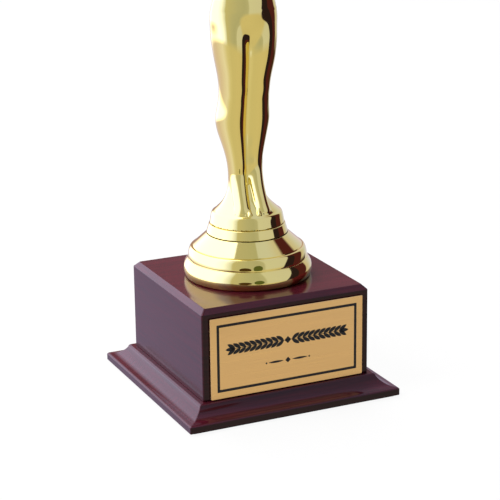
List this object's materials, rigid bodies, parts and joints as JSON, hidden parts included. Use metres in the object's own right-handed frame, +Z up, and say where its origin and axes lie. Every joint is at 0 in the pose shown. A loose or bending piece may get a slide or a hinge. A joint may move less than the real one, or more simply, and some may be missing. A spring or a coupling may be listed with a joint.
{
  "type": "figure trophy",
  "caption": "Award trophy: a gold metallised figure raising a faceted star on a stepped round riser, bolted to a boxed lacquered wooden base with a moulded plinth and a nameplate.",
  "frame": {"origin": "centre of the underside, on the surface that the trophy stands on", "axes": "+Z up along the trophy's upright axis, the nameplate faces -Y, +X to the right of it"},
  "size_m": [0.1008, 0.1008, 0.3022],
  "materials": {
    "felt": "pressed dark green felt",
    "lacquered_wood": "rosewood stain under high-gloss lacquer",
    "zinc_steel": "bright zinc plate",
    "bare_board": "raw fibreboard and softwood, unfinished",
    "plate_metal": "brushed, anodised warm gold, engraved and filled in black",
    "foam_tape": "double-sided mounting tape",
    "gold_plastic": "vacuum-metallised pale gold, mirror gloss",
    "brass": "turned brass"
  },
  "bodies": {
    "root": {"felt_pad": "felt", "plinth_board": "lacquered_wood", "plinth_screws": "zinc_steel", "front_panel": "lacquered_wood", "right_panel": "lacquered_wood", "back_panel": "lacquered_wood", "left_panel": "lacquered_wood", "top_panel": "lacquered_wood", "glue_block_left_front": "bare_board", "glue_block_left_back": "bare_board", "glue_block_right_front": "bare_board", "glue_block_right_back": "bare_board", "nameplate": "plate_metal", "nameplate_tape": "foam_tape", "riser": "gold_plastic", "collar": "gold_plastic", "figure_front": "gold_plastic", "figure_back": "gold_plastic", "left_arm": "gold_plastic", "right_arm": "gold_plastic", "star": "gold_plastic", "threaded_insert": "brass", "tie_rod": "zinc_steel", "washer": "zinc_steel", "hex_nut": "zinc_steel"}
  },
  "joints": []
}
